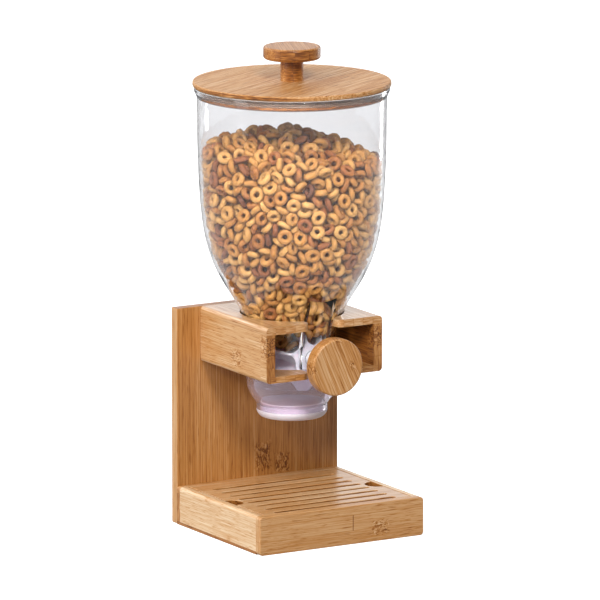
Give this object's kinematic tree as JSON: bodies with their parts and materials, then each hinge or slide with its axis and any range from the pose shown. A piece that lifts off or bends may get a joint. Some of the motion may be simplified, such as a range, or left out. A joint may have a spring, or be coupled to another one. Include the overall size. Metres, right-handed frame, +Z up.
{
  "type": "cereal dispenser",
  "caption": "Countertop dry food dispenser: clear lift-out hopper with a hand-turned rotor, on a bamboo box shelf over a slotted tray, with a bamboo lid.",
  "frame": {"origin": "on the hopper's vertical axis, at the table, which is the centre of the footprint of the whole object's box", "axes": "+Z up along the hopper's axis, +X to the right when facing the knob, +Y towards the back board"},
  "size_m": [0.165, 0.165, 0.408],
  "materials": {
    "bamboo": "satin oiled bamboo",
    "clear_plastic": "clear polished",
    "frosted_silicone": "frosted",
    "seal_silicone": "clear grey",
    "white_plastic": "satin white",
    "steel": "brushed"
  },
  "bodies": {
    "stand": {"back_board": "bamboo", "tray_front_rail": "bamboo", "tray_back_rail": "bamboo", "tray_left_rail": "bamboo", "tray_right_rail": "bamboo", "tray_floor": "bamboo", "grille_left_ledge": "bamboo", "grille_right_ledge": "bamboo", "shelf_top_board": "bamboo", "shelf_floor_board": "bamboo", "shelf_left_panel": "bamboo", "shelf_right_panel": "bamboo", "shelf_screws": "steel", "tray_screws": "steel"},
    "grille": {"slotted_grille": "bamboo"},
    "container": {"hopper": "clear_plastic", "outlet_cup": "clear_plastic", "front_bush": "white_plastic"},
    "rotor": {"rotor_shaft": "steel", "rotor_hub": "white_plastic", "rotor_vanes": "frosted_silicone", "shaft_clip": "steel", "knob_collar": "white_plastic", "turning_knob": "bamboo"},
    "lid": {"lid_disc": "bamboo", "lid_plug": "bamboo", "lid_seal": "seal_silicone", "lid_stem": "bamboo", "lid_knob": "bamboo", "lid_screw": "steel"},
    "cap": {"outlet_cap": "white_plastic"}
  },
  "joints": [
    {"name": "hopper_lift", "type": "slide", "parent": "stand", "child": "container", "axis": [0, 0, 1], "range_m": [0, 0.1]},
    {"name": "lid_lift", "type": "slide", "parent": "container", "child": "lid", "axis": [0, 0, 1], "range_m": [0, 0.05]},
    {"name": "knob_turn", "type": "hinge", "parent": "container", "child": "rotor", "pos_m": [0, 0, 0.1494], "axis": [0, 1, 0], "continuous": true},
    {"name": "cap_pull", "type": "slide", "parent": "container", "child": "cap", "axis": [0, 0, -1], "range_m": [0, 0.04]},
    {"name": "grille_lift", "type": "slide", "parent": "stand", "child": "grille", "axis": [0, 0, 1], "range_m": [0, 0.02]}
  ]
}
